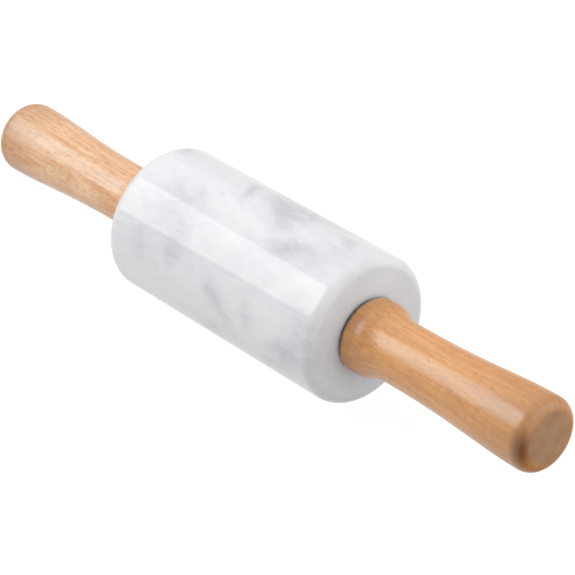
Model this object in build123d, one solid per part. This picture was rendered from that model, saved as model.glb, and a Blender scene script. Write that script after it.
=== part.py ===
"""Mini rolling pin: a marble barrel that spins on two ball bearings between turned beech handles.

The origin is the barrel's centre on the spin axis. +X runs along the pin to the right handle and +Z is
up. Lengths are in millimetres. A steel axle is screwed into both handles, and the barrel turns round it.
The two ends are mirror images, so each piece of the right end is made once and mirrored for the left.
"""

from build123d import *

import math
import os

# Driving dimensions of the outside
BARREL_RADIUS = 25.0
BARREL_LENGTH = 99.0
BARREL_EDGE_RADIUS = 3.4
HANDLE_LENGTH = 78.0
HANDLE_GAP = 0.5  # clear distance from the barrel's end face to the handle's front face

# Turned outline of a handle, from its front collar to its end
COLLAR_RADIUS = 12.55
COLLAR_EDGE_RADIUS = 0.9
COLLAR_BAND = 4.2  # front face to the end of the collar's straight band
SHOULDER_ANGLE = 23.5  # steepest slope between the collar and the neck, in degrees
SHOULDER_RADIUS = 9.5
COVE_RADIUS = 18.5
NECK_RUN = 4.6
SWELL_ANGLE = 3.78  # slope of the grip's straight flank, in degrees
SWELL_RADIUS = 425.0
FLANK_RUN = 12.0
END_ROUND_LENGTH = 4.2  # the end's elliptical rounding, along the pin
END_ROUND_DEPTH = 3.6  # and across it

# Ball bearing 698: 8 mm bore, 19 mm outside diameter, 6 mm wide
BEARING_BORE_RADIUS = 4.0
BEARING_RADIUS = 9.5
BEARING_WIDTH = 6.0
INNER_RING_RADIUS = 5.6
OUTER_RING_INSIDE_RADIUS = 7.9
BALL_RADIUS = 1.5
BALL_COUNT = 7
PITCH_RADIUS = 6.75  # circle of the ball centres
RACE_CLEARANCE = 0.04  # between a ball and each groove, or a ball and its cage pocket
CAGE_INSIDE_RADIUS = 6.1
CAGE_RADIUS = 7.4
CAGE_WIDTH = 4.0
SHIELD_INSIDE_RADIUS = 5.75
SHIELD_RADIUS = 8.5
SHIELD_THICKNESS = 0.3
SHIELD_SETBACK = 0.2  # from the ring's side face to the shield

# Nylon cup that seats a bearing in each end of the barrel
CUP_RADIUS = 11.5
CUP_FLOOR = 2.0
CUP_FLOOR_BORE_RADIUS = 6.6
CUP_LIP = 1.0  # the cup stands this much proud of the bearing, flush with the barrel's end face
CUP_CHAMFER = 0.6
BARREL_BORE_RADIUS = 7.0

# Axle, spacer and fasteners
AXLE_RADIUS = 4.0
AXLE_CHAMFER = 0.8
AXLE_ENGAGEMENT = 16.5  # length of axle thread inside a handle's insert
THREAD_PITCH = 1.25
THREAD_DEPTH = 0.65
SPACER_CLEARANCE = 0.05
SPACER_RADIUS = 5.5
THRUST_WASHER_RADIUS = 5.5
NUT_ACROSS_FLATS = 13.0
NUT_THICKNESS = 4.0
NUT_CHAMFER_ANGLE = 30.0
DUST_WASHER_RADIUS = 11.9
DUST_WASHER_THICKNESS = 0.3
INSERT_RADIUS = 6.0
INSERT_LENGTH = 18.0
INSERT_PITCH = 2.0
INSERT_RIDGE = 0.6
HANDLE_NUT_POCKET_RADIUS = 8.0
HANDLE_DRILL_SPARE = 2.5  # depth of the blind hole behind the insert

# Stations along the pin, right end
BARREL_END = BARREL_LENGTH / 2
HANDLE_FRONT = BARREL_END + HANDLE_GAP
HANDLE_END = HANDLE_FRONT + HANDLE_LENGTH
BEARING_OUT = BARREL_END - CUP_LIP
BEARING_IN = BEARING_OUT - BEARING_WIDTH
BEARING_MIDDLE = (BEARING_IN + BEARING_OUT) / 2
CUP_IN = BEARING_IN - CUP_FLOOR
NUT_FRONT = HANDLE_FRONT
NUT_BACK = NUT_FRONT + NUT_THICKNESS
INSERT_END = NUT_BACK + INSERT_LENGTH
AXLE_END = NUT_BACK + AXLE_ENGAGEMENT


def ring(x_start, x_end, inside_radius, outside_radius):
    """A plain ring or tube about the spin axis."""
    outline = Polyline(
        (x_start, inside_radius),
        (x_end, inside_radius),
        (x_end, outside_radius),
        (x_start, outside_radius),
        close=True,
    )
    return turned(outline)


def turned(*edges):
    """The solid that a closed outline of (x, radius) makes round the spin axis."""
    return revolve(make_face(edges), Axis.X, 360).solid()


def ridges(x_start, x_end, crest, root, pitch):
    """Points of a row of equal V-shaped ridges, from x_start to about x_end."""
    count = round((x_end - x_start) / pitch)
    step = (x_end - x_start) / count
    points = []
    for i in range(count):
        points.append((x_start + i * step, crest))
        points.append((x_start + (i + 0.5) * step, root))
    points.append((x_end, crest))
    return points


def marble_barrel():
    """The rolled stone: a rounded cylinder with a bore and a pocket for a bearing cup in each end."""
    right_half = [
        (0, BARREL_BORE_RADIUS),
        (CUP_IN, BARREL_BORE_RADIUS),
        (CUP_IN, CUP_RADIUS),
        (BARREL_END, CUP_RADIUS),
        (BARREL_END, BARREL_RADIUS - BARREL_EDGE_RADIUS),
    ]
    inside_and_face = Polyline(*right_half)
    edge = JernArc(inside_and_face @ 1, (0, 1), BARREL_EDGE_RADIUS, 90)
    wall = Line(edge @ 1, (0, BARREL_RADIUS))
    middle = Line(wall @ 1, (0, BARREL_BORE_RADIUS))
    half = turned(inside_and_face, edge, wall, middle)
    return (half + mirror(half, about=Plane.YZ)).clean()


def bearing_cup():
    """Nylon cup pressed into the barrel's pocket. Its floor backs only the bearing's outer ring."""
    outline = Polyline(
        (CUP_IN, CUP_FLOOR_BORE_RADIUS),
        (BEARING_IN, CUP_FLOOR_BORE_RADIUS),
        (BEARING_IN, BEARING_RADIUS),
        (BARREL_END - CUP_CHAMFER, BEARING_RADIUS),
        (BARREL_END, BEARING_RADIUS + CUP_CHAMFER),
        (BARREL_END, CUP_RADIUS),
        (CUP_IN + CUP_CHAMFER, CUP_RADIUS),
        (CUP_IN, CUP_RADIUS - CUP_CHAMFER),
        close=True,
    )
    return turned(outline)


def ball_groove():
    """The ring-shaped space that the balls run in, a little larger than they are."""
    section = Pos(BEARING_MIDDLE, PITCH_RADIUS) * Circle(BALL_RADIUS + RACE_CLEARANCE)
    return revolve(section, Axis.X, 360).solid()


def bearing_outer_ring():
    """Outer ring, grooved inside, with a step at each side that holds a shield."""
    step = SHIELD_SETBACK + SHIELD_THICKNESS
    blank = ring(BEARING_IN, BEARING_OUT, OUTER_RING_INSIDE_RADIUS, BEARING_RADIUS)
    blank -= ring(BEARING_IN, BEARING_IN + step, OUTER_RING_INSIDE_RADIUS, SHIELD_RADIUS)
    blank -= ring(BEARING_OUT - step, BEARING_OUT, OUTER_RING_INSIDE_RADIUS, SHIELD_RADIUS)
    return blank - ball_groove()


def bearing_inner_ring():
    """Inner ring, grooved outside, clamped on the axle between the spacer and the thrust washer."""
    return ring(BEARING_IN, BEARING_OUT, BEARING_BORE_RADIUS, INNER_RING_RADIUS) - ball_groove()


def ball_centres():
    """Centres of the balls, evenly spaced round the bearing."""
    for i in range(BALL_COUNT):
        angle = math.radians(90 + 360 * i / BALL_COUNT)
        yield BEARING_MIDDLE, PITCH_RADIUS * math.cos(angle), PITCH_RADIUS * math.sin(angle)


def bearing_balls():
    """The steel balls, as one group of separate solids."""
    return Compound(children=[Pos(*centre) * Sphere(BALL_RADIUS) for centre in ball_centres()])


def bearing_cage():
    """Ring with a round pocket for each ball, which keeps them apart."""
    cage = ring(
        BEARING_MIDDLE - CAGE_WIDTH / 2,
        BEARING_MIDDLE + CAGE_WIDTH / 2,
        CAGE_INSIDE_RADIUS,
        CAGE_RADIUS,
    )
    for centre in ball_centres():
        cage -= Pos(*centre) * Sphere(BALL_RADIUS + RACE_CLEARANCE)
    return cage


def bearing_shield(side_face, inward):
    """Thin steel ring in the outer ring's step. inward is the direction from side_face to the balls."""
    near = side_face + inward * SHIELD_SETBACK
    far = near + inward * SHIELD_THICKNESS
    return ring(min(near, far), max(near, far), SHIELD_INSIDE_RADIUS, SHIELD_RADIUS)


def spacer_tube():
    """Tube over the axle that keeps the two inner rings apart."""
    return ring(-BEARING_IN, BEARING_IN, AXLE_RADIUS + SPACER_CLEARANCE, SPACER_RADIUS)


def axle_rod():
    """Steel rod through the whole pin, threaded at both ends for the nuts and the handles."""
    root = AXLE_RADIUS - THREAD_DEPTH
    thread = ridges(NUT_FRONT, AXLE_END - AXLE_CHAMFER, AXLE_RADIUS, root, THREAD_PITCH)
    right_half = [
        (0, 0),
        (0, AXLE_RADIUS),
        *thread,
        (AXLE_END, AXLE_RADIUS - AXLE_CHAMFER),
        (AXLE_END, 0),
    ]
    half = turned(Polyline(*right_half, close=True))
    return (half + mirror(half, about=Plane.YZ)).clean()


def thrust_washer():
    """Hard washer that carries the nut's clamp to the bearing's inner ring only."""
    return ring(BEARING_OUT, NUT_FRONT, AXLE_RADIUS, THRUST_WASHER_RADIUS)


def lock_nut():
    """Thin hexagon nut with both faces chamfered, sunk in the handle's front."""
    flat = NUT_ACROSS_FLATS / 2
    hexagon = Plane.YZ.offset(NUT_FRONT) * RegularPolygon(flat, 6, major_radius=False)
    corner_drop = (flat / math.cos(math.pi / 6) - flat) * math.tan(math.radians(NUT_CHAMFER_ANGLE))
    envelope = turned(
        Polyline(
            (NUT_FRONT, AXLE_RADIUS),
            (NUT_FRONT, flat),
            (NUT_FRONT + corner_drop, flat / math.cos(math.pi / 6)),
            (NUT_BACK - corner_drop, flat / math.cos(math.pi / 6)),
            (NUT_BACK, flat),
            (NUT_BACK, AXLE_RADIUS),
            close=True,
        )
    )
    return extrude(hexagon, NUT_THICKNESS) & envelope


def dust_washer():
    """Thin washer on the handle's front face that covers the bearing. It clears the turning barrel."""
    near_barrel = HANDLE_FRONT - DUST_WASHER_THICKNESS
    return ring(near_barrel, HANDLE_FRONT, THRUST_WASHER_RADIUS, DUST_WASHER_RADIUS)


def threaded_insert():
    """Brass sleeve screwed into the handle's wood. The axle screws into it as far as the nut."""
    root = INSERT_RADIUS - INSERT_RIDGE
    outside = ridges(NUT_BACK, INSERT_END, INSERT_RADIUS, root, INSERT_PITCH)
    return turned(Polyline((NUT_BACK, AXLE_RADIUS), *outside, (INSERT_END, AXLE_RADIUS), close=True))


def handle():
    """Turned wooden grip: a collar, a narrow neck, a long swell and a rounded flat end."""
    axis_start = (INSERT_END + HANDLE_DRILL_SPARE, 0)
    hole = Polyline(
        axis_start,
        (axis_start[0], INSERT_RADIUS),
        (NUT_BACK, INSERT_RADIUS),
        (NUT_BACK, HANDLE_NUT_POCKET_RADIUS),
        (HANDLE_FRONT, HANDLE_NUT_POCKET_RADIUS),
        (HANDLE_FRONT, COLLAR_RADIUS - COLLAR_EDGE_RADIUS),
    )
    collar_edge = JernArc(hole @ 1, (0, 1), COLLAR_EDGE_RADIUS, -90)
    band = Line(collar_edge @ 1, (HANDLE_FRONT + COLLAR_BAND, COLLAR_RADIUS))
    shoulder = JernArc(band @ 1, band % 1, SHOULDER_RADIUS, -SHOULDER_ANGLE)
    cove = JernArc(shoulder @ 1, shoulder % 1, COVE_RADIUS, SHOULDER_ANGLE)
    neck = Line(cove @ 1, (cove @ 1) + Vector(NECK_RUN, 0))
    swell = JernArc(neck @ 1, neck % 1, SWELL_RADIUS, SWELL_ANGLE)
    flank = Line(swell @ 1, (swell @ 1) + (swell % 1) * FLANK_RUN)
    crest_length = HANDLE_END - END_ROUND_LENGTH - (flank @ 1).X
    crest_radius = crest_length / math.sin(math.radians(SWELL_ANGLE))
    crest = JernArc(flank @ 1, flank % 1, crest_radius, -SWELL_ANGLE)
    end_face_radius = (crest @ 1).Y - END_ROUND_DEPTH
    end_round = EllipticalCenterArc(
        ((crest @ 1).X, end_face_radius), END_ROUND_LENGTH, END_ROUND_DEPTH, arc_size=90
    )
    end_face = Line((HANDLE_END, end_face_radius), (HANDLE_END, 0))
    middle = Line((HANDLE_END, 0), axis_start)
    return turned(
        hole, collar_edge, band, shoulder, cove, neck, swell, flank, crest, end_round, end_face, middle
    )


def end_pieces():
    """Every piece of the right end, by name."""
    return {
        "handle": handle(),
        "threaded_insert": threaded_insert(),
        "lock_nut": lock_nut(),
        "dust_washer": dust_washer(),
        "thrust_washer": thrust_washer(),
        "bearing_cup": bearing_cup(),
        "bearing_outer_ring": bearing_outer_ring(),
        "bearing_inner_ring": bearing_inner_ring(),
        "bearing_balls": bearing_balls(),
        "bearing_cage": bearing_cage(),
        "bearing_outer_shield": bearing_shield(BEARING_OUT, -1),
        "bearing_inner_shield": bearing_shield(BEARING_IN, 1),
    }


def mirrored(piece):
    """The left end's copy of a piece, keeping a group's solids apart."""
    solids = [mirror(solid, about=Plane.YZ) for solid in piece.solids()]
    return solids[0] if len(solids) == 1 else Compound(children=solids)


def main():
    os.makedirs("parts", exist_ok=True)
    nodes = {
        "marble_barrel": marble_barrel(),
        "axle_rod": axle_rod(),
        "spacer_tube": spacer_tube(),
    }
    for name, piece in end_pieces().items():
        nodes[name + "_right"] = piece
        nodes[name + "_left"] = mirrored(piece)
    for name, shape in nodes.items():
        export_step(shape, f"parts/{name}.step")


main()
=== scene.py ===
import math
import random

import bpy
from mathutils import Matrix, Vector


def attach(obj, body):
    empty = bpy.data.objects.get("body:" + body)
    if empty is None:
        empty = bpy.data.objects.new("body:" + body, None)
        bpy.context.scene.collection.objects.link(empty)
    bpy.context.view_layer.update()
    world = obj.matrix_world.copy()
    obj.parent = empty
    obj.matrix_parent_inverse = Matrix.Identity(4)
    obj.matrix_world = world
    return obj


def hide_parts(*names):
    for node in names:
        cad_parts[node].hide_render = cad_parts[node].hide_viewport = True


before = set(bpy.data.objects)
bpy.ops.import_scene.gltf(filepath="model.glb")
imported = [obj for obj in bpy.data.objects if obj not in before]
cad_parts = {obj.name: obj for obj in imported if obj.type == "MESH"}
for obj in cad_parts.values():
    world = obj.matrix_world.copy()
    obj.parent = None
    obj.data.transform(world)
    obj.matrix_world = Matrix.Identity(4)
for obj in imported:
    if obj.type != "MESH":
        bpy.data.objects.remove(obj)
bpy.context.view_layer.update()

MM = 0.001
SEGMENTS = 256  # a multiple of 4, so that the mesh reaches its full radius on every axis
ARC_STEPS = 24
SHARP_ANGLE = 35.0  # an edge between faces that turn by more degrees than this stays sharp

# Marble barrel, in millimetres, as in the CAD part
BARREL_RADIUS = 25.0
BARREL_END = 49.5
BARREL_EDGE_RADIUS = 3.4
BARREL_BORE_RADIUS = 7.0
POCKET_RADIUS = 11.5
POCKET_FLOOR = 40.5

# Turned handle, in millimetres and degrees, as in the CAD part
HANDLE_FRONT = 50.0
HANDLE_END = 128.0
COLLAR_RADIUS = 12.55
COLLAR_EDGE_RADIUS = 0.9
COLLAR_BAND = 4.2
SHOULDER_RADIUS = 9.5
COVE_RADIUS = 18.5
SHOULDER_ANGLE = 23.5
NECK_RUN = 4.6
SWELL_RADIUS = 425.0
SWELL_ANGLE = 3.78
FLANK_RUN = 12.0
END_ROUND_LENGTH = 4.2
END_ROUND_DEPTH = 3.6
NUT_POCKET_RADIUS = 8.0
NUT_POCKET_FLOOR = 54.0
INSERT_HOLE_RADIUS = 6.0
INSERT_HOLE_END = 74.5

# Camera: places in metres, lens and sensor in millimetres
CAMERA_AT = Vector((0.58866, -0.50417, 0.45225))
CAMERA_AIM = Vector((0.00705, 0.0043, -0.0042))
CAMERA_LENS = 174.86
SENSOR_WIDTH = 36.0

# Floor and softboxes, in metres, with the direction of the softboxes' long sides
FLOOR_HALF_SIZE = 6.0
SOFTBOX_DISTANCE = 1.0
SOFTBOX_LEAN = (0, 1, 1)

# Radiance of the softboxes, and of the surroundings below and above the horizon
SOFTBOX_RADIANCE = 2.5
BELOW_HORIZON = 0.84
ABOVE_HORIZON = 0.57


def arc(start, heading, radius, turn, steps=ARC_STEPS):
    """Points after start along an arc in the (x, radius) plane.

    Angles are in degrees, and a positive turn goes to the left.
    """
    side = math.copysign(1, turn)
    first = math.radians(heading)
    centre_x = start[0] - side * radius * math.sin(first)
    centre_r = start[1] + side * radius * math.cos(first)
    points = []
    for i in range(1, steps + 1):
        angle = first + math.radians(turn) * i / steps
        x = centre_x + side * radius * math.sin(angle)
        r = centre_r - side * radius * math.cos(angle)
        points.append((x, r))
    return points


def run(start, end, steps):
    """Evenly spaced points after start, up to end."""
    return [
        (start[0] + (end[0] - start[0]) * i / steps, start[1] + (end[1] - start[1]) * i / steps)
        for i in range(1, steps + 1)
    ]


def barrel_outline():
    """The barrel's section: bore, pockets for the bearing cups, end faces, rounded rims and wall."""
    face_top = (BARREL_END, BARREL_RADIUS - BARREL_EDGE_RADIUS)
    right = [(0, BARREL_BORE_RADIUS), (POCKET_FLOOR, BARREL_BORE_RADIUS), (POCKET_FLOOR, POCKET_RADIUS)]
    right += [(BARREL_END, POCKET_RADIUS)]
    right += run(right[-1], face_top, steps=6)
    right += arc(right[-1], 90, BARREL_EDGE_RADIUS, 90)
    right += run(right[-1], (0, BARREL_RADIUS), steps=12)
    left = [(-x, r) for x, r in reversed(right[1:-1])]
    return right + left


def handle_outline():
    """The right handle's section, from the bottom of its hole round to the middle of its end face."""
    points = [(INSERT_HOLE_END, 0), (INSERT_HOLE_END, INSERT_HOLE_RADIUS)]
    points += [(NUT_POCKET_FLOOR, INSERT_HOLE_RADIUS), (NUT_POCKET_FLOOR, NUT_POCKET_RADIUS)]
    points += [(HANDLE_FRONT, NUT_POCKET_RADIUS), (HANDLE_FRONT, COLLAR_RADIUS - COLLAR_EDGE_RADIUS)]
    points += arc(points[-1], 90, COLLAR_EDGE_RADIUS, -90, steps=8)
    points += run(points[-1], (HANDLE_FRONT + COLLAR_BAND, COLLAR_RADIUS), steps=3)
    points += arc(points[-1], 0, SHOULDER_RADIUS, -SHOULDER_ANGLE)
    points += arc(points[-1], -SHOULDER_ANGLE, COVE_RADIUS, SHOULDER_ANGLE)
    points += run(points[-1], (points[-1][0] + NECK_RUN, points[-1][1]), steps=4)
    points += arc(points[-1], 0, SWELL_RADIUS, SWELL_ANGLE)
    slope = math.radians(SWELL_ANGLE)
    flank_end = (points[-1][0] + FLANK_RUN * math.cos(slope), points[-1][1] + FLANK_RUN * math.sin(slope))
    points += run(points[-1], flank_end, steps=8)
    crest_length = HANDLE_END - END_ROUND_LENGTH - flank_end[0]
    points += arc(points[-1], SWELL_ANGLE, crest_length / math.sin(slope), -SWELL_ANGLE)
    round_start, grip_radius = points[-1]
    for i in range(1, ARC_STEPS + 1):
        angle = math.radians(90) * i / ARC_STEPS
        x = round_start + END_ROUND_LENGTH * math.sin(angle)
        points.append((x, grip_radius - END_ROUND_DEPTH * (1 - math.cos(angle))))
    points += run(points[-1], (HANDLE_END, 0), steps=5)
    return points


def lathe(name, outline, closed):
    """A mesh made by turning an outline of (x, radius) in millimetres round the X axis."""
    vertices, rings = [], []
    for x, r in outline:
        count = SEGMENTS if r > 0 else 1
        rings.append(range(len(vertices), len(vertices) + count))
        for i in range(count):
            angle = 2 * math.pi * i / SEGMENTS
            vertices.append((x * MM, r * MM * math.cos(angle), r * MM * math.sin(angle)))
    faces = []
    pairs = list(zip(rings, rings[1:]))
    if closed:
        pairs.append((rings[-1], rings[0]))
    for near, far in pairs:
        for i in range(SEGMENTS):
            j = (i + 1) % SEGMENTS
            corners = [near[i % len(near)], near[j % len(near)], far[j % len(far)], far[i % len(far)]]
            faces.append(list(dict.fromkeys(corners)))
    mesh = bpy.data.meshes.new(name)
    mesh.from_pydata(vertices, [], faces)
    mesh.shade_smooth()
    mesh.set_sharp_from_angle(angle=math.radians(SHARP_ANGLE))
    piece = bpy.data.objects.new(name, mesh)
    bpy.context.scene.collection.objects.link(piece)
    return piece


def face_outwards(piece):
    """Turns the faces of a closed mesh so that they all look out."""
    mesh = piece.data
    volume = 0.0
    mesh.calc_loop_triangles()
    for triangle in mesh.loop_triangles:
        a, b, c = (mesh.vertices[i].co for i in triangle.vertices)
        volume += a.dot(b.cross(c))
    if volume < 0:
        mesh.flip_normals()


class Nodes:
    """Short calls for building one node tree."""

    def __init__(self, tree, shader, coordinates):
        self.tree = tree
        self.shader = tree.nodes[shader]
        self.coordinates = self.add("ShaderNodeTexCoord").outputs[coordinates]

    def add(self, kind, **settings):
        node = self.tree.nodes.new(kind)
        for key, value in settings.items():
            setattr(node, key, value)
        return node

    def link(self, value, socket):
        """Sets a socket to a number or vector, or links another node's output to it."""
        if isinstance(value, bpy.types.NodeSocket):
            self.tree.links.new(value, socket)
        else:
            socket.default_value = value

    def math(self, operation, a, b=0.0, c=0.0):
        node = self.add("ShaderNodeMath", operation=operation)
        for value, socket in zip((a, b, c), node.inputs):
            self.link(value, socket)
        return node.outputs["Value"]

    def vector(self, operation, a, b=(0, 0, 0), c=(0, 0, 0)):
        node = self.add("ShaderNodeVectorMath", operation=operation)
        for value, socket in zip((a, b, c), node.inputs):
            self.link(value, socket)
        return node.outputs["Value" if operation in ("LENGTH", "DISTANCE", "DOT_PRODUCT") else "Vector"]

    def place(self, source, location=(0, 0, 0), turn=(0, 0, 0), scale=(1, 1, 1), kind="POINT"):
        """Coordinates scaled, turned by angles in radians and moved by a location in metres.

        With the kind TEXTURE the pattern is placed instead: it is scaled, turned and moved to the location.
        """
        node = self.add("ShaderNodeMapping", vector_type=kind)
        self.link(source, node.inputs["Vector"])
        node.inputs["Location"].default_value = location
        node.inputs["Rotation"].default_value = turn
        node.inputs["Scale"].default_value = scale
        return node.outputs["Vector"]

    def noise(self, source, size, detail=2.0, roughness=0.5, output="Fac"):
        """Noise whose lumps are about size millimetres across."""
        node = self.add("ShaderNodeTexNoise")
        self.link(source, node.inputs["Vector"])
        node.inputs["Scale"].default_value = 1 / (size * MM)
        node.inputs["Detail"].default_value = detail
        node.inputs["Roughness"].default_value = roughness
        return node.outputs[output]

    def warped(self, source, size, amount):
        """Coordinates shifted by up to about half of amount in lumps of a size, both in millimetres."""
        shift = self.vector("SUBTRACT", self.noise(source, size, 3.0, 0.55, "Color"), (0.5, 0.5, 0.5))
        return self.vector("MULTIPLY_ADD", shift, Vector((amount, amount, amount)) * MM, source)

    def distance(self, axes):
        """Distance from the origin in millimetres, measured only along the axes that are 1."""
        length = self.vector("LENGTH", self.vector("MULTIPLY", self.coordinates, axes))
        return self.math("DIVIDE", length, MM)

    def reach(self, direction):
        """How many millimetres a point lies from the origin along a direction."""
        return self.math("DIVIDE", self.vector("DOT_PRODUCT", self.coordinates, direction), MM)

    def smooth(self, value, low, high, bottom=0.0, top=1.0):
        """Value mapped smoothly from low..high to bottom..top."""
        node = self.add("ShaderNodeMapRange", interpolation_type="SMOOTHSTEP")
        self.link(value, node.inputs["Value"])
        node.inputs["From Min"].default_value = low
        node.inputs["From Max"].default_value = high
        node.inputs["To Min"].default_value = bottom
        node.inputs["To Max"].default_value = top
        return node.outputs["Result"]

    def mix(self, share, a, b):
        """Colour a where share is 0, and b where it is 1."""
        node = self.add("ShaderNodeMix", data_type="RGBA")
        self.link(share, node.inputs["Factor"])
        colours = [socket for socket in node.inputs if socket.type == "RGBA"]
        self.link(a, colours[0])
        self.link(b, colours[1])
        return next(socket for socket in node.outputs if socket.type == "RGBA")

    def bump(self, height, strength, distance):
        """Bumps of a height from 0 to 1, whose full depth is a distance in millimetres."""
        node = self.add("ShaderNodeBump")
        node.inputs["Strength"].default_value = strength
        node.inputs["Distance"].default_value = distance * MM
        self.link(height, node.inputs["Height"])
        self.link(node.outputs["Normal"], self.shader.inputs["Normal"])

    def set(self, **sockets):
        """Values of the shader's own sockets, with spaces in their names written as underscores."""
        for name, value in sockets.items():
            self.link(value, self.shader.inputs[name.replace("_", " ")])


def new_material(name):
    """A material and the calls for its node tree."""
    material = bpy.data.materials.new(name)
    material.use_nodes = True
    return material, Nodes(material.node_tree, "Principled BSDF", "Object")


def rgb(red, green, blue):
    return (red, green, blue, 1.0)


def grey(value):
    return rgb(value, value, value)


# Axes that a distance is measured along, and a direction
ALONG_PIN = (1, 0, 0)
ACROSS_PIN = (0, 1, 1)
UP_AND_FRONT = (0, -0.5, 0.87)

# Marble
BACK_CLOUD_COUNT = 22
BACK_SEED = 5
MARBLE_WHITE = rgb(0.895, 0.90, 0.92)
MARBLE_GREY = rgb(0.595, 0.605, 0.63)
# Painted light: a cool tint on the end faces that offsets the warm light bounced onto them from the handles
END_FACE_PAINTED_COOL_LIGHT = rgb(0.57, 0.80, 0.96)

# Grey clouds in the marble. Each is: place along the barrel (mm), angle round it (degrees, 0 at the front
# and 90 at the top), length and width (mm), lean of its length from the barrel's axis (degrees), strength
FRONT_CLOUDS = [
    (-9.5, 97, 14, 4, -64, 0.8),
    (14, 117, 34, 9, 0, 0.55),
    (10, 100, 26, 15, -30, 0.35),
    (4, 102, 15, 8, -35, 0.6),
    (12, 88, 14, 8, -35, 0.6),
    (17, 101, 10, 5, -60, 0.5),
    (36.5, 100, 8, 5, -35, 0.55),
    (23, 66, 12, 6, 22, 1.2),
    (32, 71, 12, 5, -15, 0.4),
    (34, 86, 20, 12, -20, 0.25),
    (-14.3, 77.5, 2, 1.6, -20, 0.5),
    (-20.5, 72, 10, 5, -48, 0.4),
    (-28, 65, 11, 7, -30, 0.35),
    (-24, 46, 20, 15, 5, 0.4),
    (-17, 30, 12, 7, -78, 0.4),
    (-18, 16, 10, 5, -75, 0.35),
    (-34, 15, 14, 6, -75, 0.3),
    (3, 11, 8, 5, -35, 0.3),
    (7, 2, 15, 7, -45, 0.55),
    (20.5, 6, 8, 7, -45, 0.45),
    (41, -5, 15, 11, 15, 0.8),
    (46, 18, 10, 9, 60, 0.5),
    (0, -29, 14, 6, 35, 0.5),
    (30, -26, 14, 7, 35, 0.4),
    (40, 31, 15, 4, 8, 0.35),
    (-45, 104, 9, 5, -70, 0.45),
]

# Clearer, whiter places in the marble, in the same terms
FRONT_WHITES = [
    (3, 69, 13, 5, -12, 0.5),
    (11, 97, 3, 2, -30, 0.5),
    (12, 23, 9, 4, 0, 0.5),
    (-4.8, 19, 2.2, 1.6, 0, 0.9),
    (-25, 23, 2.4, 1.6, 0, 0.6),
    (-36, -20, 14, 9, -10, 0.9),
    (-16, -16.5, 1.6, 1.2, 30, 0.6),
]


def back_clouds():
    """Clouds for the side that faces away, at random places from a fixed seed."""
    draw = random.Random(BACK_SEED)
    clouds = []
    for _ in range(BACK_CLOUD_COUNT):
        length = draw.uniform(7, 15)
        lean = draw.uniform(-65, -25)
        place = (draw.uniform(-46, 46), draw.uniform(125, 310))
        clouds.append((*place, length, 0.4 * length, lean, draw.uniform(0.3, 0.6)))
    return clouds


def cloud_patch(n, source, cloud):
    """A soft long patch on the barrel's wall, strongest in its middle and 0 from its edge outwards.

    The falloff starts as if inside the middle, so the most that it reaches is about 0.74 of its strength.
    """
    x, angle, length, width, lean, strength = cloud
    turn = math.radians(angle)
    lean = math.radians(lean)
    outward = Vector((0, -math.cos(turn), math.sin(turn)))
    round_wall = Vector((0, math.sin(turn), math.cos(turn)))
    along = math.cos(lean) * Vector((1, 0, 0)) + math.sin(lean) * round_wall
    across = outward.cross(along)
    centre = Vector((x, 0, 0)) + BARREL_RADIUS * outward
    axes = Matrix((along, across, outward)).transposed()
    size = Vector((length, width, width)) * MM
    local = n.place(source, centre * MM, axes.to_euler(), size, "TEXTURE")
    return n.smooth(n.vector("LENGTH", local), -0.5, 1.0, strength, 0.0)


def marble():
    """White marble with soft grey clouds, broad drifts and fine streaks, and end faces tinted slightly
    cooler as painted light that offsets the warm light the handles bounce onto them.
    """
    material, n = new_material("polished_marble")
    source = n.warped(n.coordinates, 8, 6)
    total = 0.0
    for cloud in FRONT_CLOUDS + back_clouds():
        total = n.math("ADD", total, cloud_patch(n, source, cloud))
    drift = n.place(n.warped(n.coordinates, 20, 12), turn=(0.3, 0.6, 0.5), scale=(0.4, 1.0, 1.0))
    broad = n.smooth(n.noise(drift, 16, 3.0, 0.55), 0.35, 0.7)
    streaks = n.noise(n.place(source, turn=(0.5, 0.2, 0.7), scale=(0.3, 1.0, 1.0)), 2.4, 4.0, 0.65)
    total = n.math("MULTIPLY", total, n.math("MULTIPLY_ADD", streaks, 1.2, 0.4))
    total = n.math("MULTIPLY_ADD", broad, 0.2, total)
    total = n.math("MULTIPLY_ADD", n.smooth(streaks, 0.35, 0.65), 0.12, total)
    for white in FRONT_WHITES:
        total = n.math("SUBTRACT", total, n.math("MULTIPLY", cloud_patch(n, source, white), 0.35))
    colour = n.mix(n.smooth(total, -0.3, 1.0), MARBLE_WHITE, MARBLE_GREY)
    # Painted cool light on the end faces, against the handles' warm bounce light
    end_face = n.smooth(n.distance(ALONG_PIN), BARREL_END - 0.3, BARREL_END, 0.0, 0.1)
    n.set(Base_Color=n.mix(end_face, colour, END_FACE_PAINTED_COOL_LIGHT), Roughness=0.1, IOR=1.5)
    return material


# Beech, in millimetres
TREE_HEART = Vector((0, -50, 35))  # the middle of the growth rings
RING_SPACING = 2.6
RING_WAVE = 3
FLECK_CELL_LENGTH = 4.2  # each cell of the pattern holds one fleck, about half as long
FLECK_CELL_WIDTH = 0.26
# Middle and size of the painted dark reflection on the near end's rounding
PAINTED_REFLECTION_AT = Vector((127.1, -10.8, 0.6))
PAINTED_REFLECTION_SIZE = Vector((4.8, 5.6, 9.0))
END_GRAIN_RADIUS = 7.6
END_GRAIN_BLEND = 2.0  # width of the change from end grain to side grain

# Beech colours. A wood has those of its light and dark side grain and of its ray flecks
NEAR_WOOD = (rgb(0.91, 0.435, 0.13), rgb(0.67, 0.27, 0.065), rgb(0.46, 0.13, 0.01))
# Painted light: the far handle's wood is paler than the near one's only to stand in for the stronger light
# on it
FAR_WOOD_PAINTED_LIGHTER = (rgb(1.0, 0.64, 0.36), rgb(0.77, 0.34, 0.125), rgb(0.42, 0.13, 0.05))
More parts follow.
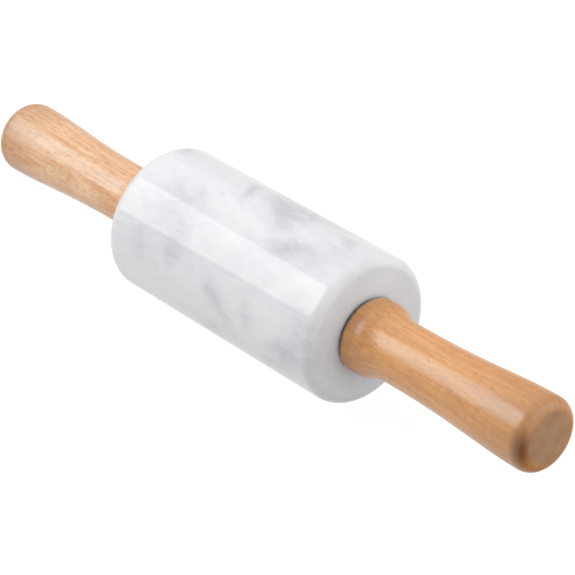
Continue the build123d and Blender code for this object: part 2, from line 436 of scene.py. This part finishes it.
# Painted shade: a brown that darkens the handle towards its end and at the collar's lower side, where less
# light reaches
PAINTED_SHADE_BROWN = rgb(0.33, 0.115, 0.015)
# Colour of the painted dark reflection on the near end's rounding
PAINTED_REFLECTION_BROWN = rgb(0.25, 0.07, 0.0)
SEAM_SHADE = rgb(0.06, 0.03, 0.015)
END_GRAIN_LIGHT = rgb(0.52, 0.265, 0.12)
END_GRAIN_DARK = rgb(0.30, 0.135, 0.05)
VARNISH_TINT = rgb(0.5, 0.85, 1.0)  # cool, so that highlights on the orange wood come out cream


def side_grain(n, place, light, dark):
    """Side grain with growth rings and fine streaks: its colour, then its tones, rings and fibres alone."""
    broad = n.noise(n.place(place, scale=(0.2, 1.0, 1.0)), 6, 2.0)
    radius = n.vector("DISTANCE", n.vector("MULTIPLY", place, ACROSS_PIN), TREE_HEART * MM)
    rings = n.math("MULTIPLY_ADD", broad, RING_WAVE * MM, radius)
    band = n.smooth(n.math("FRACT", n.math("MULTIPLY", rings, 1 / (RING_SPACING * MM))), 0.2, 1.0)
    streaks = n.noise(n.place(place, scale=(0.05, 1.0, 1.0)), 0.9, 3.0, 0.6)
    fibres = n.noise(n.place(place, scale=(0.1, 1.0, 1.0)), 0.3, 2.0, 0.7)
    tone = n.math("MULTIPLY_ADD", band, 0.12, n.math("MULTIPLY", broad, 0.4))
    tone = n.math("MULTIPLY_ADD", streaks, 0.75, tone)
    tone = n.math("MULTIPLY_ADD", fibres, 0.5, tone)
    return n.mix(n.smooth(tone, 0.55, 1.15), light, dark), broad, band, fibres


def ray_flecks(n, place, colour, fleck):
    """The colour with short dark flecks along the grain, from clear to too faint to see."""
    cells = n.add("ShaderNodeTexVoronoi")
    squeeze = (1 / FLECK_CELL_LENGTH, 1 / FLECK_CELL_WIDTH, 1 / FLECK_CELL_WIDTH)
    n.link(n.place(place, scale=squeeze), cells.inputs["Vector"])
    cells.inputs["Scale"].default_value = 1 / MM
    chance = n.add("ShaderNodeSeparateColor")
    n.link(cells.outputs["Color"], chance.inputs["Color"])
    dash = n.smooth(cells.outputs["Distance"], 0.1, 0.55, 1.0, 0.0)
    clearness = n.smooth(chance.outputs["Red"], 0.35, 1.0, 0.0, 0.75)
    return n.mix(n.math("MULTIPLY", dash, clearness), colour, fleck)


def painted_shading(n, colour, painted_reflection):
    """The colour with painted shade: darker at the collar's lower side and towards the end, a painted dark
    reflection on the end's rounding, and a painted shadow in the seam beside the barrel.
    """
    from_middle = n.distance(ALONG_PIN)
    height = n.reach(UP_AND_FRONT)
    # Painted shade: darker towards the end and over its rounding, which turn away from the light
    grip = n.smooth(from_middle, HANDLE_END - 30, HANDLE_END - 4, 0.0, 0.3)
    rounding = n.smooth(from_middle, HANDLE_END - 7, HANDLE_END - 1.8, 0.0, 0.15)
    # Painted shade: darker at the collar beside the barrel, most on its lower side, where the barrel keeps
    # light off
    collar = n.smooth(from_middle, HANDLE_FRONT + 3.5, HANDLE_FRONT + 12, 1.0, 0.0)
    collar = n.math("MULTIPLY", collar, n.smooth(height, -12, 10, 0.5, 0.25))
    painted_shade = n.math("ADD", n.math("ADD", grip, rounding), collar)
    colour = n.mix(painted_shade, colour, PAINTED_SHADE_BROWN)
    # Painted dark reflection on the lower front of the end's rounding
    spot = n.place(n.coordinates, PAINTED_REFLECTION_AT * MM, scale=PAINTED_REFLECTION_SIZE * MM, kind="TEXTURE")
    colour = n.mix(n.smooth(n.vector("LENGTH", spot), 0.1, 1.0, painted_reflection, 0.0), colour, PAINTED_REFLECTION_BROWN)
    # Painted shadow in the seam between the collar and the barrel, on the collar's upper side
    seam = n.smooth(from_middle, HANDLE_FRONT + 0.4, HANDLE_FRONT + 1.8, 0.9, 0.0)
    seam = n.math("MULTIPLY", seam, n.smooth(height, 0, 8))
    return n.mix(seam, colour, SEAM_SHADE)


def end_grain(n, place, broad, band):
    """Where the flat end's cut grain shows, from 0 to 1, and its mottled colour."""
    at_end = n.smooth(n.distance(ALONG_PIN), HANDLE_END - 2, HANDLE_END - 0.8)
    edge = END_GRAIN_RADIUS + END_GRAIN_BLEND
    inside = n.smooth(n.distance(ACROSS_PIN), END_GRAIN_RADIUS, edge, 1.0, 0.0)
    pores = n.noise(n.place(place, scale=(0.2, 1.0, 1.0)), 0.7, 3.0, 0.7)
    mottle = n.math("MULTIPLY_ADD", broad, 0.7, n.math("MULTIPLY", pores, 0.5))
    mottle = n.math("MULTIPLY_ADD", band, 0.04, mottle)
    cut = n.mix(n.smooth(mottle, 0.3, 1.1), END_GRAIN_LIGHT, END_GRAIN_DARK)
    return n.math("MULTIPLY", at_end, inside), cut


def beech(name, wood, shift, painted_reflection):
    """Varnished beech in a wood's three colours.

    The pattern is shifted by millimetres, so that two handles differ. painted_reflection is the strength of
    the painted dark reflection on the end's rounding.
    """
    light, dark, fleck = wood
    material, n = new_material(name)
    place = n.place(n.coordinates, Vector(shift) * MM)
    colour, broad, band, fibres = side_grain(n, place, light, dark)
    colour = ray_flecks(n, place, colour, fleck)
    colour = painted_shading(n, colour, painted_reflection)
    shown, cut = end_grain(n, place, broad, band)
    colour = n.mix(n.math("MULTIPLY", shown, 0.85), colour, cut)
    n.bump(fibres, 0.05, 0.2)
    roughness = n.math("MULTIPLY_ADD", shown, 0.2, 0.31)
    n.set(Base_Color=colour, Roughness=roughness, IOR=1.85, Specular_Tint=VARNISH_TINT)
    return material


def metal(name, colour, roughness, marks_along):
    """Turned or ground metal with fine marks, stretched along each axis where marks_along is below 1."""
    material, n = new_material(name)
    marks = n.noise(n.place(n.coordinates, scale=marks_along), 0.35, 2.0, 0.6)
    shade = n.mix(n.math("MULTIPLY", marks, 0.35), rgb(*colour), rgb(*[0.6 * c for c in colour]))
    varied = n.math("MULTIPLY_ADD", marks, 0.15, roughness - 0.07)
    n.set(Base_Color=shade, Metallic=1.0, Roughness=varied)
    return material


def moulded(name, colour, roughness):
    """Moulded plastic with a slightly mottled surface."""
    material, n = new_material(name)
    mottle = n.noise(n.coordinates, 1, 3.0, 0.6)
    shade = n.mix(mottle, rgb(*colour), rgb(*[0.8 * c for c in colour]))
    n.bump(mottle, 0.1, 0.1)
    n.set(Base_Color=shade, Roughness=roughness, IOR=1.5)
    return material


def slot_materials():
    """A material for each of the record's slots, except beech, which differs between the handles."""
    across = (1.0, 0.05, 0.05)
    along = (0.05, 1.0, 1.0)
    even = (1.0, 1.0, 1.0)
    return {
        "marble": marble(),
        "axle_steel": metal("ground_axle_steel", (0.58, 0.58, 0.6), 0.28, across),
        "spacer_aluminium": metal("drawn_aluminium", (0.78, 0.79, 0.8), 0.35, along),
        "insert_brass": metal("turned_brass", (0.79, 0.6, 0.3), 0.3, across),
        "zinc_steel": metal("zinc_plated_steel", (0.7, 0.71, 0.74), 0.32, even),
        "bearing_steel": metal("bearing_steel", (0.62, 0.62, 0.63), 0.16, across),
        "shield_steel": metal("shield_steel", (0.66, 0.66, 0.67), 0.3, across),
        "black_nylon": moulded("black_nylon", (0.018, 0.018, 0.019), 0.5),
        "cage_nylon": moulded("cage_nylon", (0.55, 0.5, 0.4), 0.45),
        "cup_nylon": moulded("cup_nylon", (0.7, 0.69, 0.66), 0.5),
    }


def stand_in(piece, node, body, material):
    """Hides a CAD node behind its finer piece, which moves with the same body."""
    face_outwards(piece)
    piece.data.materials.append(material)
    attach(piece, body)
    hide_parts(node)


def softbox(name, toward, width, length, diffuse):
    """A rectangular light that faces the barrel's middle from a direction.

    Where diffuse is False it shows only in gloss, and doesn't light matt surfaces.
    """
    light = bpy.data.lights.new(name, "AREA")
    light.shape = "RECTANGLE"
    light.size = width
    light.size_y = length
    light.energy = SOFTBOX_RADIANCE * math.pi * width * length
    lamp = bpy.data.objects.new(name, light)
    back = Vector(toward).normalized()
    long_side = (Vector(SOFTBOX_LEAN) - back * back.dot(Vector(SOFTBOX_LEAN))).normalized()
    axes = Matrix((long_side.cross(back), long_side, back)).transposed()
    lamp.matrix_world = Matrix.Translation(back * SOFTBOX_DISTANCE) @ axes.to_4x4()
    lamp.visible_diffuse = diffuse
    bpy.context.scene.collection.objects.link(lamp)


def floor():
    """A wide pale floor under the barrel, bright enough to read as white, that doesn't light the object."""
    half = FLOOR_HALF_SIZE
    height = -BARREL_RADIUS * MM
    corners = [(-half, -half, height), (half, -half, height), (half, half, height), (-half, half, height)]
    mesh = bpy.data.meshes.new("pale_floor")
    mesh.from_pydata(corners, [], [(0, 1, 2, 3)])
    piece = bpy.data.objects.new("pale_floor", mesh)
    bpy.context.scene.collection.objects.link(piece)
    material, n = new_material("pale_paper")
    tone = n.mix(n.noise(n.coordinates, 300), grey(0.12), grey(0.115))
    n.set(Base_Color=tone, Roughness=0.9, Specular_IOR_Level=0.0)
    n.set(Emission_Color=grey(1.0), Emission_Strength=0.93)
    mesh.materials.append(material)
    piece.visible_diffuse = False
    piece.visible_glossy = False
    piece.visible_shadow = False


# Broad soft changes in the light of the surroundings. Each is: direction, cosine of the angle from it where
# the change starts, cosine where it is full, radiance that it adds, or takes away where it is negative
GLOWS = [
    ((-0.45, 0.05, 0.89), 0.6, 0.95, 0.55),
    ((0.88, 0.35, 0.33), 0.4, 0.9, 0.8),
    ((0.8, 0.1, -0.6), 0.3, 0.9, -0.68),
]


def lighting():
    """Pale surroundings with soft lighter and darker regions, and two softboxes in front on the left."""
    world = bpy.data.worlds.new("studio")
    bpy.context.scene.world = world
    world.use_nodes = True
    n = Nodes(world.node_tree, "Background", "Generated")
    height = n.vector("DOT_PRODUCT", n.coordinates, (0, 0, 1))
    strength = n.smooth(height, -0.2, 0.2, BELOW_HORIZON, ABOVE_HORIZON)
    for direction, start, end, radiance in GLOWS:
        toward = n.vector("DOT_PRODUCT", n.coordinates, Vector(direction).normalized())
        strength = n.math("ADD", strength, n.smooth(toward, start, end, 0.0, radiance))
    n.set(Color=grey(1.0), Strength=strength)
    softbox("strip_softbox", (-0.69, -0.51, 0.51), width=0.42, length=0.72, diffuse=True)
    softbox("sheen_softbox", (-0.32, -0.67, 0.67), width=0.46, length=0.6, diffuse=False)


def camera():
    """The camera, upright, with CAMERA_AIM in the middle of its picture."""
    data = bpy.data.cameras.new("camera")
    data.lens = CAMERA_LENS
    data.sensor_width = SENSOR_WIDTH
    eye = bpy.data.objects.new("camera", data)
    eye.location = CAMERA_AT
    eye.rotation_euler = (CAMERA_AIM - CAMERA_AT).to_track_quat("-Z", "Y").to_euler()
    bpy.context.scene.collection.objects.link(eye)
    bpy.context.scene.camera = eye


finishes = slot_materials()
woods = {
    "right": beech("near_beech", NEAR_WOOD, shift=(0, 0, 0), painted_reflection=0.95),
    "left": beech("far_beech_painted_lighter", FAR_WOOD_PAINTED_LIGHTER, shift=(0, 20, 30), painted_reflection=0.0),
}

stone = lathe("stone_barrel", barrel_outline(), closed=True)
stand_in(stone, "marble_barrel", "barrel", finishes["marble"])
right_outline = handle_outline()
left_outline = [(-x, r) for x, r in right_outline]
for side, outline in (("right", right_outline), ("left", left_outline)):
    grip = lathe(f"turned_handle_{side}", outline, closed=False)
    stand_in(grip, f"handle_{side}", "handles_and_axle", woods[side])

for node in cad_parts.values():
    slot = node.data.materials[0].name
    if slot in finishes:
        node.data.materials[0] = finishes[slot]

floor()
lighting()
camera()
bpy.context.scene.view_settings.view_transform = "Standard"
